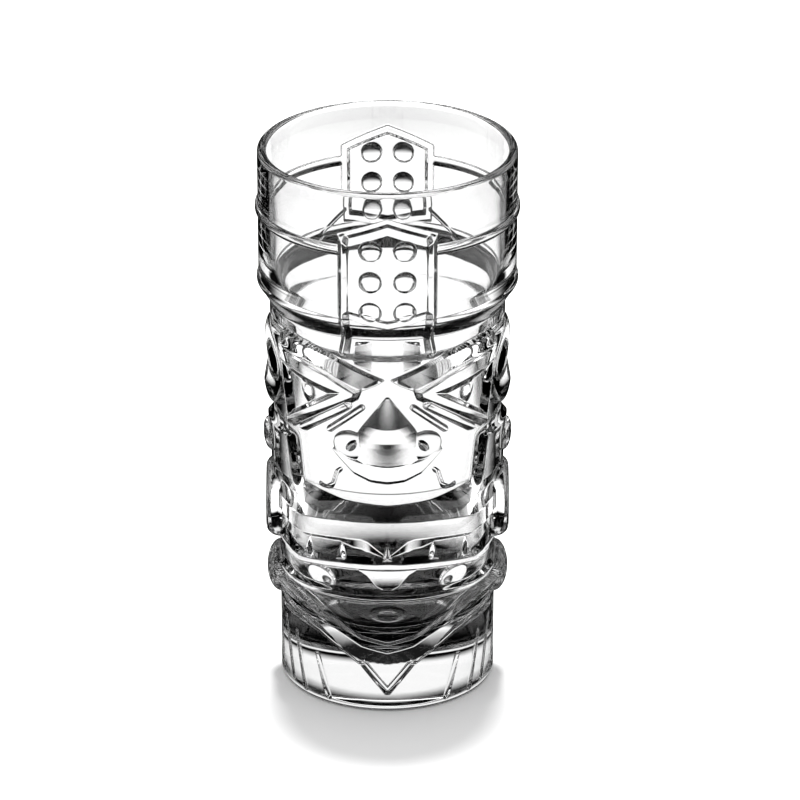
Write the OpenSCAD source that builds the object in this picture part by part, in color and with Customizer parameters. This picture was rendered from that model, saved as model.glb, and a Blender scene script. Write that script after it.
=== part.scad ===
// Pressed-glass tiki tumbler: a thick-based glass with a carved face on the front (-Y),
// a crest plate on the front and the back (+Y), and an ear column on each side (+X and -X).
// Every node is one moulded feature, cut along the surface where it joins the wall.

/* [Glass] */
// Height of the glass
height = 160; // [158:1:168]
// Outer radius of the plain band under the rim
rim_r = 36.2; // [35.8:0.1:36.4]
// Thickness of the wall at the rim
rim_wall = 2.6; // [2:0.1:3.2]
// Outer radius of the foot
foot_r = 30.5; // [30:0.1:30.8]
// Height of the cavity floor above the table
floor_z = 16; // [14:0.5:17]
// Inner radius just above the cavity floor
cavity_r = 26.6; // [26:0.1:27.5]

/* [Headband] */
// Height of the upper bead's centre line
upper_bead_z = 142; // [140:0.5:143]
// Height of the lower bead's centre line
lower_bead_z = 121; // [120:0.5:122]
// Radius of each bead's round section
bead = 1.5; // [1.2:0.1:1.8]
// Lowest edge of the rolled band above the brows
roll_z = 112.5; // [112:0.1:113]

/* [Crest] */
// Half of the crest plate's width
crest_half = 14; // [12:0.5:15]
// Height of the crest plate's shoulders
crest_shoulder_z = 147.2; // [146:0.2:149]
// Rise of the crest's point above its shoulders
crest_rise = 5; // [3:0.5:6]
// Radius of the crest plate's face, from the axis of the glass
crest_r = 37.8; // [37.4:0.1:38.4]
// Width of the sloped border round the crest plate
crest_border = 2.3; // [1.5:0.1:3]
// Diameter of the round dimples in the crest
dimple_d = 6.1; // [4:0.1:7]
// Depth of the round dimples in the crest
dimple_depth = 1.1; // [0.6:0.1:1.2]

/* [Face] */
// Outer radius of the wall behind the eyes
face_r = 32.6; // [32.2:0.1:33]
// Radius of the brow bars' faces
brow_r = 35; // [34.4:0.1:35.6]
// Radius of the eye frames' faces
eye_r = 34.6; // [34.2:0.1:35.4]
// Radius of the nose tip
nose_r = 38; // [36.5:0.1:38.4]
// Radius of the lips' faces
lip_r = 34; // [33:0.1:34.6]
// Radius of the teeth's faces
tooth_r = 33.2; // [32:0.1:33.6]
// Gap between neighbouring teeth
tooth_gap = 1.6; // [0.8:0.1:3]

/* [Ears] */
// Diameter of the flat ear plug
plug_d = 23; // [20:0.5:24]
// Distance of the ear plug's face from the axis of the glass
plug_x = 34.4; // [33.5:0.1:35]

/* [Hidden] */
$fn = 96;
// Slack that makes a cutting body run past the face it cuts
past = 1;
// Clear, colourless glass
glass = [0.86, 0.9, 0.92, 0.6];
// Height where the straight lower wall ends
straight_z = 66;
// Height from which the wall behind the eyes is straight
face_z = 82;
// Height of the step at which the wall reaches the headband's radius
band_z = 118;
// Front half-angle that the lips and the chin band run over
lip_angle = 66;
// Mouth heights: lowest edge, lower lip, teeth, upper lip, top
mouth = [45.6, 48.2, 55, 60.4];
// Chin band under the mouth: lowest and highest edge
chin_band = [35.2, 38];

// Points on an arc of radius r round a centre, from angle a to angle b
function arc(centre, r, a, b, steps = 8) =
    [for (i = [0:steps]) centre + r * [cos(a + (b - a) * i / steps), sin(a + (b - a) * i / steps)]];

// A point of the unrolled wall of radius r, moved to its place seen from the front
function seen(p, r) = [r * sin(p.x / r * 180 / PI), p.y];

// Outer line of the wall from the foot up to the rim's round edge
wall_line = [
    [foot_r, floor_z],
    [foot_r, straight_z],
    [face_r, face_z],
    [face_r, roll_z],
    [rim_r - 0.4, band_z],
    [rim_r, band_z + past]
];

// Inner line of the wall from the rim down to the cavity floor, with the shoulder under the headband
cavity_line = [
    [rim_r - 3, 145],
    [rim_r - 3.6, 119],
    [30.8, 111],
    [28.8, 108.4],
    [28.4, 103],
    [27.6, 60],
    [cavity_r, floor_z + 6]
];

// The glass without its cavity and its carving
module plain_glass() {
    rotate_extrude()
        polygon(concat([[0, 0], [foot_r, 0]], wall_line, [[rim_r, height], [0, height]]));
}

// An outline seen from the front, as a bar that runs from the axis out through the front
module front_bar() {
    rotate([90, 0, 0])
        linear_extrude(height = 2 * rim_r)
            children();
}

// A closed outline of the unrolled wall of radius wall_r, raised on the front to radius r
module carved(outline, r, wall_r = face_r) {
    difference() {
        intersection() {
            front_bar()
                polygon([for (p = outline) seen(p, wall_r)]);
            cylinder(r = r, h = height);
        }
        plain_glass();
    }
}

// A round-topped boss on the ear column, of given half width and distance from the axis
module side_boss(z, half, x) {
    rise = x - (z > straight_z ? face_r - 0.4 : foot_r);
    ball_r = (half * half + rise * rise) / (2 * rise);
    difference() {
        translate([x - ball_r, 0, z])
            sphere(r = ball_r);
        plain_glass();
        translate([-2 * ball_r - x, -ball_r - past, z - ball_r - past])
            cube([2 * ball_r + x, 2 * (ball_r + past), 2 * (ball_r + past)]);
    }
}

// Whatever is drawn for one side of the face, on both sides of it
module both_sides() {
    for (side = [0, 1])
        mirror([side, 0, 0])
            children();
}

// A front feature moved to the back
module to_back() {
    mirror([0, 1, 0])
        children();
}

// A left feature moved to the right
module to_right() {
    mirror([1, 0, 0])
        children();
}

// A ring section drawn at the front only, over the mouth's angle
module front_arc(a, b) {
    rotate([0, 0, a - 90])
        rotate_extrude(angle = b - a)
            children();
}

// A round-edged band on the lower wall between two heights
module band_section(low, high, r) {
    round_r = min((high - low) / 2, r - foot_r) * 0.8;
    polygon(concat(
        [[foot_r, low]],
        arc([r - round_r, low + round_r], round_r, -90, 0, 4),
        arc([r - round_r, high - round_r], round_r, 0, 90, 4),
        [[foot_r, high]]
    ));
}

module foot() {
    chamfer = 1.2;
    groove_r = 1.6;
    color(glass)
        difference() {
            rotate_extrude()
                polygon(concat(
                    [[0, 0]],
                    arc([foot_r - chamfer, chamfer], chamfer, -90, 0, 4),
                    [[foot_r, floor_z], [0, floor_z]]
                ));
            for (a = [35, 60, 120, 145, 215, 240, 300, 325])
                rotate([0, 0, a])
                    translate([0, foot_r + groove_r * 0.6, -past])
                        cylinder(r = groove_r, h = 4 + past);
        }
}

module cup_wall() {
    rim_round = rim_wall / 2;
    color(glass)
        rotate_extrude()
            polygon(concat(
                wall_line,
                arc([rim_r - rim_round, height - rim_round], rim_round, 0, 180, 10),
                cavity_line,
                arc([cavity_r - 5, floor_z + 5], 5, 0, -90, 6)
            ));
}

// A half-round ring standing on the headband, broken by the two crest plates
module ring_bead(z) {
    color(glass)
        difference() {
            rotate_extrude()
                translate([rim_r - bead / 2, z])
                    circle(r = bead, $fn = 32);
            plain_glass();
            crest_columns();
        }
}

module upper_bead() {
    ring_bead(upper_bead_z);
}

module lower_bead() {
    ring_bead(lower_bead_z);
}

module headband_roll() {
    roll_r = 2.4;
    color(glass)
        difference() {
            rotate_extrude()
                translate([rim_r - roll_r - 0.4, roll_z + roll_r])
                    circle(r = roll_r, $fn = 32);
            plain_glass();
            crest_columns();
        }
}

// The crest plate's outline seen from the front, drawn in by inset on every side
module crest_outline(inset = 0) {
    w = crest_half - inset;
    low = roll_z + inset;
    high = crest_shoulder_z - inset;
    polygon([[-w, low], [-w, high], [0, high + crest_rise], [w, high], [w, low]]);
}

// The space of both crest plates, right through the glass
module crest_columns() {
    for (back = [0, 1])
        mirror([0, back, 0])
            front_bar()
                crest_outline();
}

// Three rows of two round dimples in the face of the crest plate
module crest_dimples() {
    ball_r = (dimple_d * dimple_d / 4 + dimple_depth * dimple_depth) / (2 * dimple_depth);
    for (z = [125.3, 134.5, 143.7], a = [-7.1, 7.1])
        rotate([0, 0, a])
            translate([0, dimple_depth - crest_r - ball_r, z])
                sphere(r = ball_r);
}

module crest_front() {
    border_step = 0.6;
    color(glass)
        difference() {
            union() {
                intersection() {
                    front_bar()
                        crest_outline();
                    cylinder(r = crest_r - border_step, h = height);
                }
                intersection() {
                    front_bar()
                        crest_outline(crest_border);
                    cylinder(r = crest_r, h = height);
                }
            }
            plain_glass();
            crest_dimples();
        }
}

module crest_back() {
    to_back()
        crest_front();
}

module brows() {
    color(glass)
        both_sides()
            carved([[-34.7, 111.8], [-2.4, 103.3], [-6.8, 99.3], [-34.8, 106.6]], brow_r);
}

module eye_frames() {
    color(glass)
        both_sides()
            difference() {
                carved([[-35.3, 105.3], [-8.2, 98.2], [-31.5, 85.3]], eye_r);
                front_bar()
                    polygon([for (p = [[-31.3, 103.2], [-14, 98.4], [-30, 87.6]]) seen(p, face_r)]);
            }
}

module eyes() {
    // Half length and radius of the two arcs that the oval pupil is made of
    half = 3.9;
    arc_r = 4.9;
    tilt = 18;
    color(glass)
        both_sides()
            difference() {
                intersection() {
                    front_bar()
                        translate(seen([-24.3, 97.2], face_r))
                            rotate(tilt)
                                intersection_for(side = [-1, 1])
                                    translate([side * sqrt(arc_r * arc_r - half * half), 0])
                                        circle(r = arc_r);
                    cylinder(r = eye_r - 0.4, h = height);
                }
                plain_glass();
            }
}

module cheek_bars() {
    color(glass)
        both_sides() {
            carved([[-11.6, 94.7], [-27.6, 86], [-26, 84.2], [-13.6, 91.4]], eye_r);
            carved([[-7.6, 95], [-17, 86.9], [-18.9, 84.4], [-9.3, 92.4]], eye_r - 0.4);
        }
}

module nose() {
    nostril_r = 2.6;
    color(glass)
        difference() {
            intersection() {
                front_bar()
                    polygon([[0, 98.5], [15.6, 84.6], [15.2, 80.6], [8, 77.8], [0, 76.6],
                             [-8, 77.8], [-15.2, 80.6], [-15.6, 84.6]]);
                translate([-rim_r, 0, 0])
                    rotate([90, 0, 90])
                        linear_extrude(height = 2 * rim_r)
                            polygon([[0, 98.5], [-face_r - 0.6, 98.5], [-nose_r, 86], [-nose_r + 0.6, 80.5],
                                     [-face_r - 1.6, 76.6], [0, 76.6]]);
                cylinder(r = nose_r - 0.2, h = height);
            }
            plain_glass();
            both_sides()
                rotate([0, 0, -17])
                    translate([0, -face_r - 3.6, 83.8])
                        sphere(r = nostril_r);
        }
}

module upper_lip() {
    color(glass)
        front_arc(-lip_angle, lip_angle)
            band_section(mouth[2], mouth[3], lip_r);
}

module teeth() {
    edges = [-lip_angle, -43, -23, 0, 23, 43, lip_angle];
    half_gap = tooth_gap / tooth_r * 90 / PI;
    color(glass)
        for (i = [0:5])
            front_arc(edges[i] + half_gap, edges[i + 1] - half_gap)
                band_section(mouth[1], mouth[2], tooth_r);
}

module lower_lip() {
    color(glass)
        front_arc(-lip_angle, lip_angle)
            band_section(mouth[0], mouth[1], lip_r);
}

module tongue() {
    color(glass)
        carved([[-7.5, mouth[0]], [7.5, mouth[0]], [0, chin_band[1]]], lip_r - 0.8, foot_r);
}

module chin_band() {
    color(glass)
        front_arc(-lip_angle, lip_angle)
            band_section(chin_band[0], chin_band[1], lip_r - 0.6);
}

module collar() {
    color(glass)
        carved([[-38, 28.2], [0, 19.2], [38, 28.2], [38, 26.2], [0, 17.2], [-38, 26.2]], 32, foot_r);
}

module foot_chevron() {
    color(glass)
        carved([[-38, 24.6], [-16, 19.4], [-5, 11.5], [0, 7.6], [5, 11.5], [16, 19.4], [38, 24.6],
                [38, 21.9], [17, 17], [3.5, 6.8], [0, 4.6], [-3.5, 6.8], [-17, 17], [-38, 21.9]],
               32, foot_r);
}

module ear_top_right() {
    color(glass)
        side_boss(97, 11, 35.1);
}

module ear_top_left() {
    to_right()
        ear_top_right();
}

module ear_bead_right() {
    color(glass)
        side_boss(73.2, 4.8, 33.4);
}

module ear_bead_left() {
    to_right()
        ear_bead_right();
}

module ear_plug_right() {
    edge = 2.2;
    color(glass)
        difference() {
            translate([0, 0, 53.5])
                rotate([0, 90, 0])
                    rotate_extrude()
                        polygon(concat(
                            [[0, 0], [plug_d / 2, 0]],
                            arc([plug_d / 2 - edge, plug_x - edge], edge, 0, 90, 4),
                            [[0, plug_x]]
                        ));
            plain_glass();
        }
}

module ear_plug_left() {
    to_right()
        ear_plug_right();
}

module ear_lobe_right() {
    color(glass)
        side_boss(31.5, 7.5, 34.3);
}

module ear_lobe_left() {
    to_right()
        ear_lobe_right();
}

foot();
cup_wall();
upper_bead();
lower_bead();
headband_roll();
crest_front();
crest_back();
brows();
eye_frames();
eyes();
cheek_bars();
nose();
upper_lip();
teeth();
lower_lip();
tongue();
chin_band();
collar();
foot_chevron();
ear_top_left();
ear_top_right();
ear_bead_left();
ear_bead_right();
ear_plug_left();
ear_plug_right();
ear_lobe_left();
ear_lobe_right();
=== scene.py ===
"""Looks of the clear pressed-glass tiki tumbler: one continuous glass body, its studio and its camera."""

import bpy
import numpy as np
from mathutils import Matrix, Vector


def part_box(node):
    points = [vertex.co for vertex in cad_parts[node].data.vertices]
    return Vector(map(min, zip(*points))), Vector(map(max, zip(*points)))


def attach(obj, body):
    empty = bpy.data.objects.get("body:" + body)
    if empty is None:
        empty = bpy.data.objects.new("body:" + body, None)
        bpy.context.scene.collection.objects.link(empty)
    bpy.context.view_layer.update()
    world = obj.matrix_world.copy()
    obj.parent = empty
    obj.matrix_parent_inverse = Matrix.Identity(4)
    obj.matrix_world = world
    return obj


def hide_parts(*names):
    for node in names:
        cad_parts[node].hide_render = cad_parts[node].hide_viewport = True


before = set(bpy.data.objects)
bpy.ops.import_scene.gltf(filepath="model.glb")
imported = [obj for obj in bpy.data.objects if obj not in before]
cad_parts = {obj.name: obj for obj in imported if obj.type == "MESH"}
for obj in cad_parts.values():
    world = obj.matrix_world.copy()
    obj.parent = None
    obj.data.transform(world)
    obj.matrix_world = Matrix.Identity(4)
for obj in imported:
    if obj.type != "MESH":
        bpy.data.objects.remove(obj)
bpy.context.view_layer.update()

MM = 0.001
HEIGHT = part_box("cup_wall")[1][2] / MM
RIM_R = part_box("cup_wall")[1][0] / MM

# Grid of the glass: columns round it, and the height of one row of the carved wall
COLUMNS = 1080
ROW = 0.22

# Round edge under the foot, round lip at the rim and radius of the foot (mm)
EDGE = 1.2
LIP = 1.3
FOOT_R = 30.4

# Middle of the underside and of the cavity floor (mm)
UNDER_Z = 0.5
FLOOR_Z = 15.6

# Outer wall without its carving: height and radius (mm)
WALL = [
    (0, 30.4), (30, 30.5), (62, 30.7), (72, 31.0), (82, 31.9), (88, 32.6), (98, 32.8), (108, 33.0),
    (115.2, 33.0), (115.8, 33.15), (120.8, 36.05), (122, 36.1), (146, 36.15), (160, 36.2),
]
# Cavity from the rim to its floor: radius and height (mm)
CAVITY = [
    (33.6, 155), (33.3, 145), (32.9, 128), (31.6, 121), (31.3, 114.5), (31.2, 110.0), (28.8, 108.4),
    (28.5, 103), (28.0, 60), (27.4, 30), (26.4, 24), (23, 19.5), (17, 17), (9, 15.9),
]


def ramp(x, start, end):
    """0 before start, 1 after end, and smooth between them."""
    t = np.clip((x - start) / (end - start), 0.0, 1.0)
    return t * t * (3.0 - 2.0 * t)


def slope(x, start, end):
    """0 before start, 1 after end, and straight between them."""
    return np.clip((x - start) / (end - start), 0.0, 1.0)


def dome(distance, half):
    """1 at distance 0 and 0 beyond half, with a round top."""
    return np.sqrt(np.clip(1.0 - (distance / half) ** 2, 0.0, 1.0))


def ridge(distance, half):
    """1 at distance 0 and 0 beyond half, with straight sides."""
    return np.clip(1.0 - np.abs(distance) / half, 0.0, 1.0)


def rounded(points, rounds=3):
    """Cuts the corners of an open line, several times over."""
    line = np.array(points, float)
    for _ in range(rounds):
        near = line[:-1] * 0.75 + line[1:] * 0.25
        far = line[:-1] * 0.25 + line[1:] * 0.75
        line = np.vstack([line[:1], np.stack([near, far], 1).reshape(-1, 2), line[-1:]])
    return line


def to_line(s, z, points):
    """Distance to an open line."""
    best = np.full(s.shape, np.inf)
    for (as_, az), (bs, bz) in zip(points[:-1], points[1:]):
        es, ez = bs - as_, bz - az
        t = np.clip(((s - as_) * es + (z - az) * ez) / max(es * es + ez * ez, 1e-9), 0.0, 1.0)
        best = np.minimum(best, np.hypot(s - as_ - t * es, z - az - t * ez))
    return best


def inside(s, z, outline):
    """Distance to a closed outline, positive inside it and negative outside."""
    closed = list(outline) + [outline[0]]
    within = np.zeros(s.shape, bool)
    for (as_, az), (bs, bz) in zip(closed[:-1], closed[1:]):
        if az != bz:
            within ^= ((az > z) != (bz > z)) & (s < (bs - as_) * (z - az) / (bz - az) + as_)
    away = to_line(s, z, closed)
    return np.where(within, away, -away)


def oval(s, z, centre, half, tilt=0.0):
    """0 at an oval's centre, 1 on its edge, more outside it."""
    c, n = np.cos(np.radians(tilt)), np.sin(np.radians(tilt))
    ds, dz = s - centre[0], z - centre[1]
    return np.hypot((ds * c + dz * n) / half[0], (dz * c - ds * n) / half[1])


def mirrored(points):
    """A half outline given from bottom to top, closed by its mirror image."""
    return [(-s, z) for s, z in points] + [(s, z) for s, z in reversed(points)]


def raise_to(r, target, edge, width=0.3):
    """Blends r into target where edge is positive."""
    return r + (target - r) * ramp(edge, -width, width)


def headband(r, s, z):
    """Two beads round the band, and the crest plate with its six round dimples."""
    r = r + 0.8 * dome(z - 142.7, 1.4) + 0.5 * dome(z - 121.6, 1.0)
    plate = inside(s, z, mirrored([(0, 120.2), (14, 123.4), (14, 147.2), (0, 152.2)]))
    r = raise_to(r, 36.8 + 1.1 * slope(plate, 1.7, 3.1), plate, 0.4)
    for dimple_z in (125.6, 134.6, 143.7):
        r = r - 1.3 * dome(np.hypot(s - 4.65, z - dimple_z), 3.05)
    return r


def back_lines(r, s, z):
    """A thin line that falls away from each side of the back crest's foot."""
    return r - 0.7 * ridge(to_line(s, z, [(13.6, 126.6), (25.0, 119.2)]), 0.7)


def forehead(r, s, z):
    """Two upright bars that run down from the crest, and a raised wedge beside each."""
    r = r + 1.5 * ridge(to_line(s, z, [(12.3, 111.5), (12.3, 146.0)]), 1.7)
    wedge = inside(s, z, [(3.6, 105.6), (9.4, 108.4), (9.4, 114.6), (3.6, 115.4)])
    return r + 0.45 * np.clip(s - 4.2, 0, 6) * ramp(wedge, 0.0, 0.3)


def brows(r, s, z):
    """The V of two bars, each sloping outwards to a narrow lower edge."""
    top_s, top_z = [1.0, 8.0, 16.5, 24.0, 34.8], [103.6, 106.6, 110.0, 111.6, 112.6]
    low = [(34.8, 107.6), (24.0, 106.2), (16.5, 104.0), (8.2, 99.8), (3.4, 102.0)]
    bar = inside(s, z, list(zip(top_s, top_z)) + low)
    r = raise_to(r, 34.4, bar, 0.2)
    down = np.interp(s, top_s, top_z) - z
    return np.where(bar > 0.7, 31.8 + 0.72 * np.clip(down - 0.9, 0, 4.4), r)


def eyes(r, s, z):
    """Triangular frame, sunken field and oval pupil."""
    outer = [(36.2, 108.6), (24, 106.6), (16.5, 104.4), (8.2, 99.8), (8.8, 98.0), (31.5, 84.6)]
    r = raise_to(r, 34.8, inside(s, z, outer), 1.2)
    tip, foot, corner = (12.4, 99.4), (31.6, 86.8), (34.8, 104.0)
    wide = to_line(s, z, [foot, corner, tip]) / 2.7
    steep = to_line(s, z, [tip, foot]) / 1.2
    sunk = np.clip(np.minimum(wide, steep), 0, 1) * (inside(s, z, [tip, foot, corner]) > 0)
    pupil = oval(s, z, (24.1, 97), (2.5, 4.2), -20)
    return r - 1.95 * sunk + 1.5 * ridge(pupil, 1.0)


def cheeks(r, s, z):
    """Two slanting bars under the eye."""
    r = r + 1.7 * dome(to_line(s, z, [(11.4, 95.2), (26.0, 85.4)]), 1.3)
    return r + 1.3 * dome(to_line(s, z, [(7.2, 95.0), (16.9, 87.0)]), 0.9)


def nose(r, s, z):
    """A broad nose with nostrils, over a crescent that ends at the smile crease."""
    lower = np.interp(s, [0, 6, 11.5, 15.8], [76.6, 77.2, 78.8, 81.2])
    crease = np.interp(s, [0, 5, 10, 15.8], [71.4, 72.0, 74.2, 80.0])
    half = np.interp(z, [78, 84, 88, 91, 98.4], [10.5, 10.0, 8.2, 6.0, 0.6])
    across = np.clip(1 - (s / half) ** 2, 0, 1)
    front = np.interp(z, [77, 79, 86, 88, 90.2, 98.0], [33.0, 33.9, 36.95, 37.4, 37.4, 33.4])
    body = np.clip(front - r, 0, None) * across * (z < 98.2)
    wing = 1.7 * dome(np.hypot((s - 10.8) / 5.2, (z - 82.8) / 4.6), 1.0)
    raised = np.maximum(body, wing) * ramp(z, lower - 0.3, lower + 0.6)
    crescent = 1.3 * slope(z, crease - 0.4, crease + 1.0) * (z < lower + 0.4) * (s < 15.8)
    r = r + np.maximum(raised, crescent)
    nostril = oval(s, z, (9.9, 83.4), (1.3, 2.3), 38)
    return r - 1.6 * np.clip(1 - nostril, 0, 1)


def lip_field(r, s, z):
    """The jaw that stands up round the smooth upper lip, and a small hook at each end of the smile."""
    edge = np.interp(z, [62, 66, 69, 76, 82], [24.0, 26.0, 27.5, 28.0, 28.5])
    jaw = ramp(s - edge, 0.0, 4.5) * ramp(z, 83, 80)
    r = r + 2.0 * jaw * ramp(z, 61, 64)
    hook = [(14.2, 74.6), (15.4, 73.6), (17.0, 69.2), (19.4, 67.8), (21.2, 68.6)]
    return r - 0.9 * dome(to_line(s, z, hook), 0.6)


def mouth(r, s, z):
    """Rings of the mouth: lips, teeth and chin band, over the front between the ear plugs."""
    droop = np.interp(s, [0, 8, 14, 20, 26, 30, 36], [0.0, 0.2, 0.5, 1.3, 2.3, 1.6, -1.0])
    level = z + droop * np.interp(z, [33, 42, 62, 66], [0.0, 1.0, 1.0, 0.0])
    lip_low = np.interp(s, [0, 1.5, 5.5, 7.5, 40], [50.0, 51.0, 54.6, 55.3, 55.8])
    shade = np.interp(s, [0, 2, 6, 10, 14, 20], [1.4, 2.0, 4.0, 3.4, 1.9, 1.6])
    field_low = np.interp(s, [0, 13, 18.7, 26, 34], [64.4, 65.4, 66.4, 67.6, 68.0])
    upper = 34.2 - 3.2 * slope(level, 60.8, field_low)
    lip = 32.2 + 2.0 * slope(level, lip_low - shade, lip_low)
    ring_z = [33.8, 34.4, 35.6, 37.3, 38.6, 44.6, 45.9, 47.7, 49.4]
    ring_r = [30.6, 30.7, 32.2, 32.7, 31.0, 31.4, 33.5, 34.0, 32.2]
    lower = np.interp(level, ring_z, ring_r)
    rings = np.where(level > 60.8, np.maximum(upper, r), np.where(level > 49.4, lip, lower))
    within = ramp(s, 38.5, 36.5) * ramp(z, 33.4, 34.0) * ramp(z, 68.2, 67.8)
    r = r + (rings - r) * within
    for gap_s in (0, 13.4, 24.5):
        tooth = inside(s, level, [(gap_s - 1.6, 48.3), (gap_s, 54.6), (gap_s + 1.6, 48.3)])
        r = r + 1.5 * slope(tooth, 0, 0.8)
    tilted = 31.1 + 0.3 * (z - 37.5)
    tongue = inside(s, z, mirrored([(0, 37.6), (3.2, 39.6), (5.6, 43.4), (8.4, 45.6)]))
    lobe = 1 - oval(s, z, (19.6, 40.2), (4.4, 3.6), 20)
    r = np.where((tongue > 0) | (lobe > 0), np.maximum(r, tilted), r)
    return r + 1.0 * np.clip(1 - oval(s, z, (17.6, 39.3), (1.5, 1.6)), 0, 1)


def chevrons(r, s, z):
    """A leaning V stripe, a bar under it, a broad V and a groove at the foot, and an oval mark above."""
    fade = ramp(s, 38.0, 35.0)
    thin = np.interp(s, [0, 7.5, 12.3, 22.4, 36], [18.9, 20.9, 23.8, 29.8, 34.0])
    second = np.interp(s, [0, 7.5, 12.3, 21.3, 28.8, 38], [15.4, 16.2, 19.0, 25.2, 27.2, 29.5])
    below = thin - z
    leaning = 0.27 * np.clip(z - 18.0, 0.0, 14.0)
    stripe = ramp(below, 0.2, 0.0) * ramp(below, -2.4, -2.2)
    bar = 1.8 * slope(below, 1.0, thin - second) * ramp(z, second - 0.5, second + 0.1)
    r = r + (leaning * stripe + bar) * fade
    broad = [(7.2, 14.8), (11.1, 17.6), (20.6, 22.6), (29.3, 25.0), (38, 26.6)]
    r = r + 0.7 * dome(to_line(s, z, broad), 0.8)
    groove = to_line(s, z, [(0, 6.2), (7.2, 15.0)])
    r = r - 0.9 * dome(groove, 1.0)
    mark = oval(s, z, (0, 30.6), (5.2, 2.6))
    return r + 1.3 * dome(mark, 1.0) - 1.3 * dome(mark, 0.55)


def ear_column(r, s_side, z, angle):
    """Ear, bead, flat plug and domed lobe, on the side of the glass."""
    ear = oval(s_side, z, (0, 96.5), (15, 12.5))
    hollow = oval(s_side, z, (0, 97.5), (8.5, 7.5))
    r = np.maximum(r, r + (35.1 - r) * dome(ear, 1.0))
    r = r - 1.6 * dome(hollow, 1.0)
    r = r + 1.9 * dome(np.hypot(s_side, z - 73.2), 5.0)
    flat = 34.4 / np.cos(angle)
    disc = np.hypot(s_side, z - 53.5)
    rim = 4.6 * (1 - dome(np.clip(disc - 8.4, 0, None), 3.6))
    plug = np.where(disc < 12, flat - rim, 0) - 0.5 * dome(disc - 6.6, 0.8)
    r = np.maximum(r, plug)
    return r + 3.8 * dome(np.hypot(s_side, z - 31.5), 7.6)


def foot_marks(r, s, z):
    """Shallow slanting grooves round the foot."""
    for line in ([(31, 18), (27, 2)], [(38, 20), (33, 3)], [(22, 14), (18, 2)], [(44, 20), (41, 3)]):
        r = r - 0.5 * dome(to_line(s, z, line), 0.9)
    return r


def carved_wall(angle, z, carvings):
    """Radius of the outer wall; angle is measured from the front or the back, up to a quarter turn."""
    line = rounded(WALL, 2)
    r = np.interp(z, line[:, 0], line[:, 1])
    local = np.interp(z, [45, 46, 111, 118], [31.0, 33.0, 33.0, 36.8])
    s = angle * local
    side = (np.pi / 2 - angle) * 32.5
    for carve in carvings:
        r = carve(r, s, z)
    r = ear_column(r, side, z, np.pi / 2 - angle)
    return foot_marks(r, s, z)


def glass_rows():
    """Every ring of the closed glass surface, from the underside up the wall and down to the cavity floor."""
    quarter = COLUMNS // 4
    angles = np.arange(quarter + 1) * (np.pi / 2 / quarter)
    heights = np.linspace(EDGE, HEIGHT - LIP, int((HEIGHT - LIP - EDGE) / ROW) + 1)
    angle, z = np.meshgrid(angles, heights)
    front = carved_wall(angle, z, (headband, forehead, brows, eyes, cheeks, nose, lip_field, mouth, chevrons))
    back = carved_wall(angle, z, (headband, back_lines))
    front_to_back = np.hstack([front, back[:, -2::-1]])
    wall_r = np.hstack([front_to_back, front_to_back[:, -2:0:-1]])
    wall_z = np.repeat(heights[:, None], COLUMNS, 1)

    bend = np.radians(np.linspace(0, 90, 7))[:-1]
    under = [(12, 0.5), (22, 0.45), (25, 0.1), (27, 0)]
    under += [(FOOT_R - EDGE + EDGE * np.sin(a), EDGE - EDGE * np.cos(a)) for a in bend]
    lip_turn = np.radians(np.linspace(0, 180, 17))[1:]
    lip = [(RIM_R - LIP + LIP * np.cos(a), HEIGHT - LIP + LIP * np.sin(a)) for a in lip_turn]
    cavity = rounded(CAVITY, 4)

    def rings(points):
        line = np.array(points)
        return np.repeat(line[:, :1], COLUMNS, 1), np.repeat(line[:, 1:], COLUMNS, 1)

    parts = [rings(under), (wall_r, wall_z), rings(lip), rings(cavity)]
    return np.vstack([p[0] for p in parts]), np.vstack([p[1] for p in parts])


def grid_mesh(name, radius, height, bottom_z, floor_z):
    """A closed mesh from rings of equal length, with a point in the middle of each end."""
    rows, columns = radius.shape
    turn = np.arange(columns) * (2 * np.pi / columns)
    x = radius * np.sin(turn)
    y = -radius * np.cos(turn)
    ring_points = np.stack([x, y, height], -1).reshape(-1, 3)
    points = np.vstack([ring_points, [[0, 0, bottom_z], [0, 0, floor_z]]]) * MM
    here = np.arange(columns)
    after = (here + 1) % columns
    row = np.arange(rows - 1)[:, None] * columns
    quads = np.stack([row + here, row + after, row + columns + after, row + columns + here], -1)
    low, top, last = rows * columns, rows * columns + 1, (rows - 1) * columns
    first_fan = np.stack([np.full(columns, low), after, here], -1)
    last_fan = np.stack([np.full(columns, top), last + here, last + after], -1)
    corners = np.concatenate([quads.reshape(-1), first_fan.reshape(-1), last_fan.reshape(-1)])
    sizes = np.concatenate([np.full(quads.size // 4, 4), np.full(2 * columns, 3)])
    mesh = bpy.data.meshes.new(name)
    mesh.vertices.add(len(points))
    mesh.vertices.foreach_set("co", points.reshape(-1).astype(np.float32))
    mesh.loops.add(len(corners))
    mesh.loops.foreach_set("vertex_index", corners.astype(np.int32))
    mesh.polygons.add(len(sizes))
    mesh.polygons.foreach_set("loop_start", np.concatenate([[0], np.cumsum(sizes)[:-1]]).astype(np.int32))
    mesh.update(calc_edges=True)
    mesh.validate()
    mesh.shade_smooth()
    return mesh


def camera():
    """The camera, at the viewing angle of a person looking down at the glass on a table."""
    distance, elevation, aim_z = 1.541, np.radians(24.15), 0.0829
    data = bpy.data.cameras.new("camera")
    data.lens = 245.6
    data.sensor_width = 36
    data.shift_x = 12.5 / 800
    data.clip_end = 20
    cam = bpy.data.objects.new("camera", data)
    bpy.context.collection.objects.link(cam)
    cam.location = (0, -distance * np.cos(elevation), aim_z + distance * np.sin(elevation))
    look = Vector((0, 0, aim_z)) - cam.location
    cam.rotation_euler = look.to_track_quat("-Z", "Y").to_euler()
    bpy.context.scene.camera = cam


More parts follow.
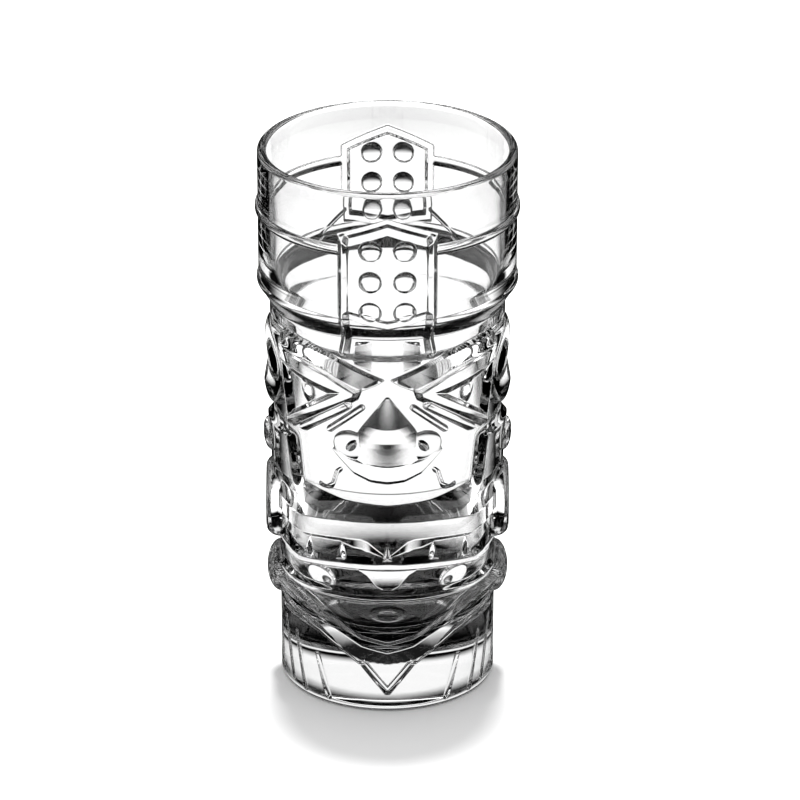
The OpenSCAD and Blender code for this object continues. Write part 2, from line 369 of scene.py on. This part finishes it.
def glass_material():
    """Clear, fire-polished glass with the faint waviness of a pressed surface."""
    material = bpy.data.materials.new("clear_glass")
    material.use_nodes = True
    nodes, links = material.node_tree.nodes, material.node_tree.links
    shader = nodes["Principled BSDF"]
    shader.inputs["Base Color"].default_value = (0.78, 0.78, 0.78, 1)
    shader.inputs["Roughness"].default_value = 0.0
    shader.inputs["IOR"].default_value = 1.5
    shader.inputs["Transmission Weight"].default_value = 1.0
    waves = nodes.new("ShaderNodeTexNoise")
    waves.inputs["Scale"].default_value = 90
    waves.inputs["Detail"].default_value = 1.5
    place = nodes.new("ShaderNodeTexCoord")
    bump = nodes.new("ShaderNodeBump")
    bump.inputs["Strength"].default_value = 0.06
    bump.inputs["Distance"].default_value = 0.0005
    links.new(place.outputs["Object"], waves.inputs["Vector"])
    links.new(waves.outputs["Fac"], bump.inputs["Height"])
    links.new(bump.outputs["Normal"], shader.inputs["Normal"])
    return material


def plain_material(name, colour, roughness):
    """One colour all over."""
    material = bpy.data.materials.new(name)
    material.use_nodes = True
    shader = material.node_tree.nodes["Principled BSDF"]
    shader.inputs["Base Color"].default_value = (*colour, 1)
    shader.inputs["Roughness"].default_value = roughness
    return material


def sheet_object(name, corners, material):
    """A flat four-cornered sheet."""
    mesh = bpy.data.meshes.new(name)
    mesh.from_pydata(corners, [], [(0, 1, 2, 3)])
    mesh.materials.append(material)
    thing = bpy.data.objects.new(name, mesh)
    bpy.context.collection.objects.link(thing)
    return thing


def mirror_rays(nodes, links):
    """1 for light mirrored by the outside of the glass, 0 for light that came through it or off the floor."""
    path = nodes.new("ShaderNodeLightPath")
    only = nodes.new("ShaderNodeMath")
    only.operation = "SUBTRACT"
    only.use_clamp = True
    links.new(path.outputs["Is Reflection Ray"], only.inputs[0])
    links.new(path.outputs["Is Diffuse Ray"], only.inputs[1])
    return only.outputs[0]


def shade_for_reflections(material):
    """Makes the floor matt, and dark where the glass's outer surface mirrors it."""
    nodes, links = material.node_tree.nodes, material.node_tree.links
    shader = nodes["Principled BSDF"]
    shader.inputs["Specular IOR Level"].default_value = 0.0
    mix = nodes.new("ShaderNodeMix")
    mix.data_type = "RGBA"
    white, dark = (0.92, 0.92, 0.92, 1), (0.004, 0.004, 0.004, 1)
    for socket in mix.inputs:
        if socket.type == "RGBA":
            socket.default_value = white if socket.name == "A" else dark
    links.new(mirror_rays(nodes, links), mix.inputs["Factor"])
    colour = [socket for socket in mix.outputs if socket.type == "RGBA"][0]
    links.new(colour, shader.inputs["Base Color"])


def soft_step(nodes, links, value, low, high):
    """0 below low, 1 above high, smooth between them."""
    step = nodes.new("ShaderNodeMapRange")
    step.interpolation_type = "SMOOTHSTEP"
    step.inputs["From Min"].default_value = low
    step.inputs["From Max"].default_value = high
    links.new(value, step.inputs["Value"])
    return step.outputs["Result"]


def combine(nodes, links, operation, first, second):
    """One math node, with a socket or a number for each input."""
    node = nodes.new("ShaderNodeMath")
    node.operation = operation
    for socket, value in zip(node.inputs, (first, second)):
        if hasattr(value, "is_linked"):
            links.new(value, socket)
        else:
            socket.default_value = value
    return node.outputs[0]


def shade_sheet_material():
    """A sheet that stands still, seen only through the glass, carrying painted shade: black near the glass as
    painted shadow under and round the foot, and black far from it and on both flanks behind it as painted
    shade.

    It is clear in a patch behind the glass that widens away from it, and clear beside and in front of it.
    """
    # Painted shade: where the sheet is black it darkens what the glass shows of the floor, under the foot, far
    # off and on the flanks behind it.
    near, far, gap = (0.066, 0.096), (0.27, 0.6), (0.012, 0.045)
    spread = float(np.tan(np.radians(16)))
    flank_end, flank_start = 0.2, 0.75
    material = bpy.data.materials.new("shade_sheet")
    material.use_nodes = True
    nodes, links = material.node_tree.nodes, material.node_tree.links
    nodes.remove(nodes["Principled BSDF"])
    place = nodes.new("ShaderNodeTexCoord")
    split = nodes.new("ShaderNodeSeparateXYZ")
    links.new(place.outputs["Object"], split.inputs["Vector"])
    side = combine(nodes, links, "ABSOLUTE", split.outputs["X"], 0.0)
    widening = combine(nodes, links, "MULTIPLY", split.outputs["Y"], spread)
    beside = soft_step(nodes, links, combine(nodes, links, "SUBTRACT", side, widening), *gap)
    away = nodes.new("ShaderNodeVectorMath")
    away.operation = "LENGTH"
    links.new(place.outputs["Object"], away.inputs[0])
    rearward = combine(nodes, links, "DIVIDE", split.outputs["Y"], away.outputs["Value"])
    behind = soft_step(nodes, links, rearward, flank_end, flank_start)
    flank = combine(nodes, links, "MINIMUM", beside, behind)
    # Painted shadow under and round the foot: black within the first radius, fading out by the second.
    close = soft_step(nodes, links, away.outputs["Value"], near[1], near[0])
    beyond = soft_step(nodes, links, away.outputs["Value"], *far)
    edges = combine(nodes, links, "MAXIMUM", close, beyond)
    cover = combine(nodes, links, "MAXIMUM", flank, edges)
    mix = nodes.new("ShaderNodeMixShader")
    clear = nodes.new("ShaderNodeBsdfTransparent")
    black = nodes.new("ShaderNodeBsdfDiffuse")
    black.inputs["Color"].default_value = (0, 0, 0, 1)
    links.new(cover, mix.inputs["Fac"])
    links.new(clear.outputs["BSDF"], mix.inputs[1])
    links.new(black.outputs["BSDF"], mix.inputs[2])
    links.new(mix.outputs["Shader"], nodes["Material Output"].inputs["Surface"])
    return material


def unseen(thing):
    """Keeps the sheet of painted shade out of the picture, the shadows and the floor's light: only the glass
    shows it.
    """
    for kind in ("camera", "diffuse", "shadow", "glossy"):
        setattr(thing, f"visible_{kind}", False)


def sky():
    """White band at mid height, dark below and above it, dimmed where the glass's outer surface mirrors it."""
    dark_low, bright_low, bright_high, dark_high = 0.3, 0.38, 0.5, 0.62
    full, mirrored_level, floor_share = 1.1, 0.005, 0.72
    world = bpy.data.worlds.new("world")
    bpy.context.scene.world = world
    world.use_nodes = True
    nodes, links = world.node_tree.nodes, world.node_tree.links
    level = nodes.new("ShaderNodeMapRange")
    level.inputs["To Min"].default_value = full
    level.inputs["To Max"].default_value = mirrored_level
    links.new(mirror_rays(nodes, links), level.inputs["Value"])
    aim = nodes.new("ShaderNodeTexCoord")
    split = nodes.new("ShaderNodeSeparateXYZ")
    links.new(aim.outputs["Generated"], split.inputs["Vector"])
    high = nodes.new("ShaderNodeValToRGB")
    high.color_ramp.elements[0].position = dark_low
    high.color_ramp.elements[0].color = (0, 0, 0, 1)
    high.color_ramp.elements[1].position = bright_low
    high.color_ramp.elements[1].color = (1, 1, 1, 1)
    for position, value in ((bright_high, 1.0), (dark_high, 0.02)):
        element = high.color_ramp.elements.new(position)
        element.color = (value, value, value, 1)
    links.new(split.outputs["Z"], high.inputs["Fac"])
    path = nodes.new("ShaderNodeLightPath")
    keep = nodes.new("ShaderNodeMix")
    keep.data_type = "FLOAT"
    keep.inputs["B"].default_value = floor_share
    links.new(path.outputs["Is Diffuse Ray"], keep.inputs["Factor"])
    links.new(high.outputs["Color"], keep.inputs["A"])
    both = combine(nodes, links, "MULTIPLY", keep.outputs[0], level.outputs["Result"])
    links.new(both, nodes["Background"].inputs["Strength"])
    nodes["Background"].inputs["Color"].default_value = (1, 1, 1, 1)


def square(half, z):
    """Corners of a level square round the middle of the table."""
    return [(-half, -half, z), (half, -half, z), (half, half, z), (-half, half, z)]


def table():
    """The plain white floor, and the sheet of painted shade just above it."""
    floor = sheet_object("floor", square(6.0, -0.0004), plain_material("floor", (0.92, 0.92, 0.92), 1.0))
    shade_for_reflections(floor.data.materials[0])
    # Painted shade, seen only through the glass.
    unseen(sheet_object("shade_sheet", square(5.0, -0.0002), shade_sheet_material()))


def sun():
    """A soft light from above, tilted so that the shadow falls towards the front."""
    light = bpy.data.lights.new("sun", "SUN")
    light.energy = 3.2
    light.angle = np.radians(9)
    lamp = bpy.data.objects.new("sun", light)
    bpy.context.collection.objects.link(lamp)
    lamp.rotation_euler = (np.radians(-12), 0, 0)
    for kind in ("camera", "glossy", "transmission"):
        setattr(lamp, f"visible_{kind}", False)


def studio():
    """Colour handling, enough bounces for thick glass, and everything round the glass."""
    scene = bpy.context.scene
    scene.view_settings.view_transform = "Standard"
    scene.view_settings.look = "Medium High Contrast"
    scene.cycles.max_bounces = 32
    scene.cycles.transmission_bounces = 32
    scene.cycles.glossy_bounces = 12
    sky()
    table()
    sun()


camera()
radius, height = glass_rows()
mesh = grid_mesh("tiki_glass", radius, height, UNDER_Z, FLOOR_Z)
glass = bpy.data.objects.new("tiki_glass", mesh)
bpy.context.collection.objects.link(glass)
mesh.materials.append(glass_material())
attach(glass, "root")
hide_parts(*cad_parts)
studio()
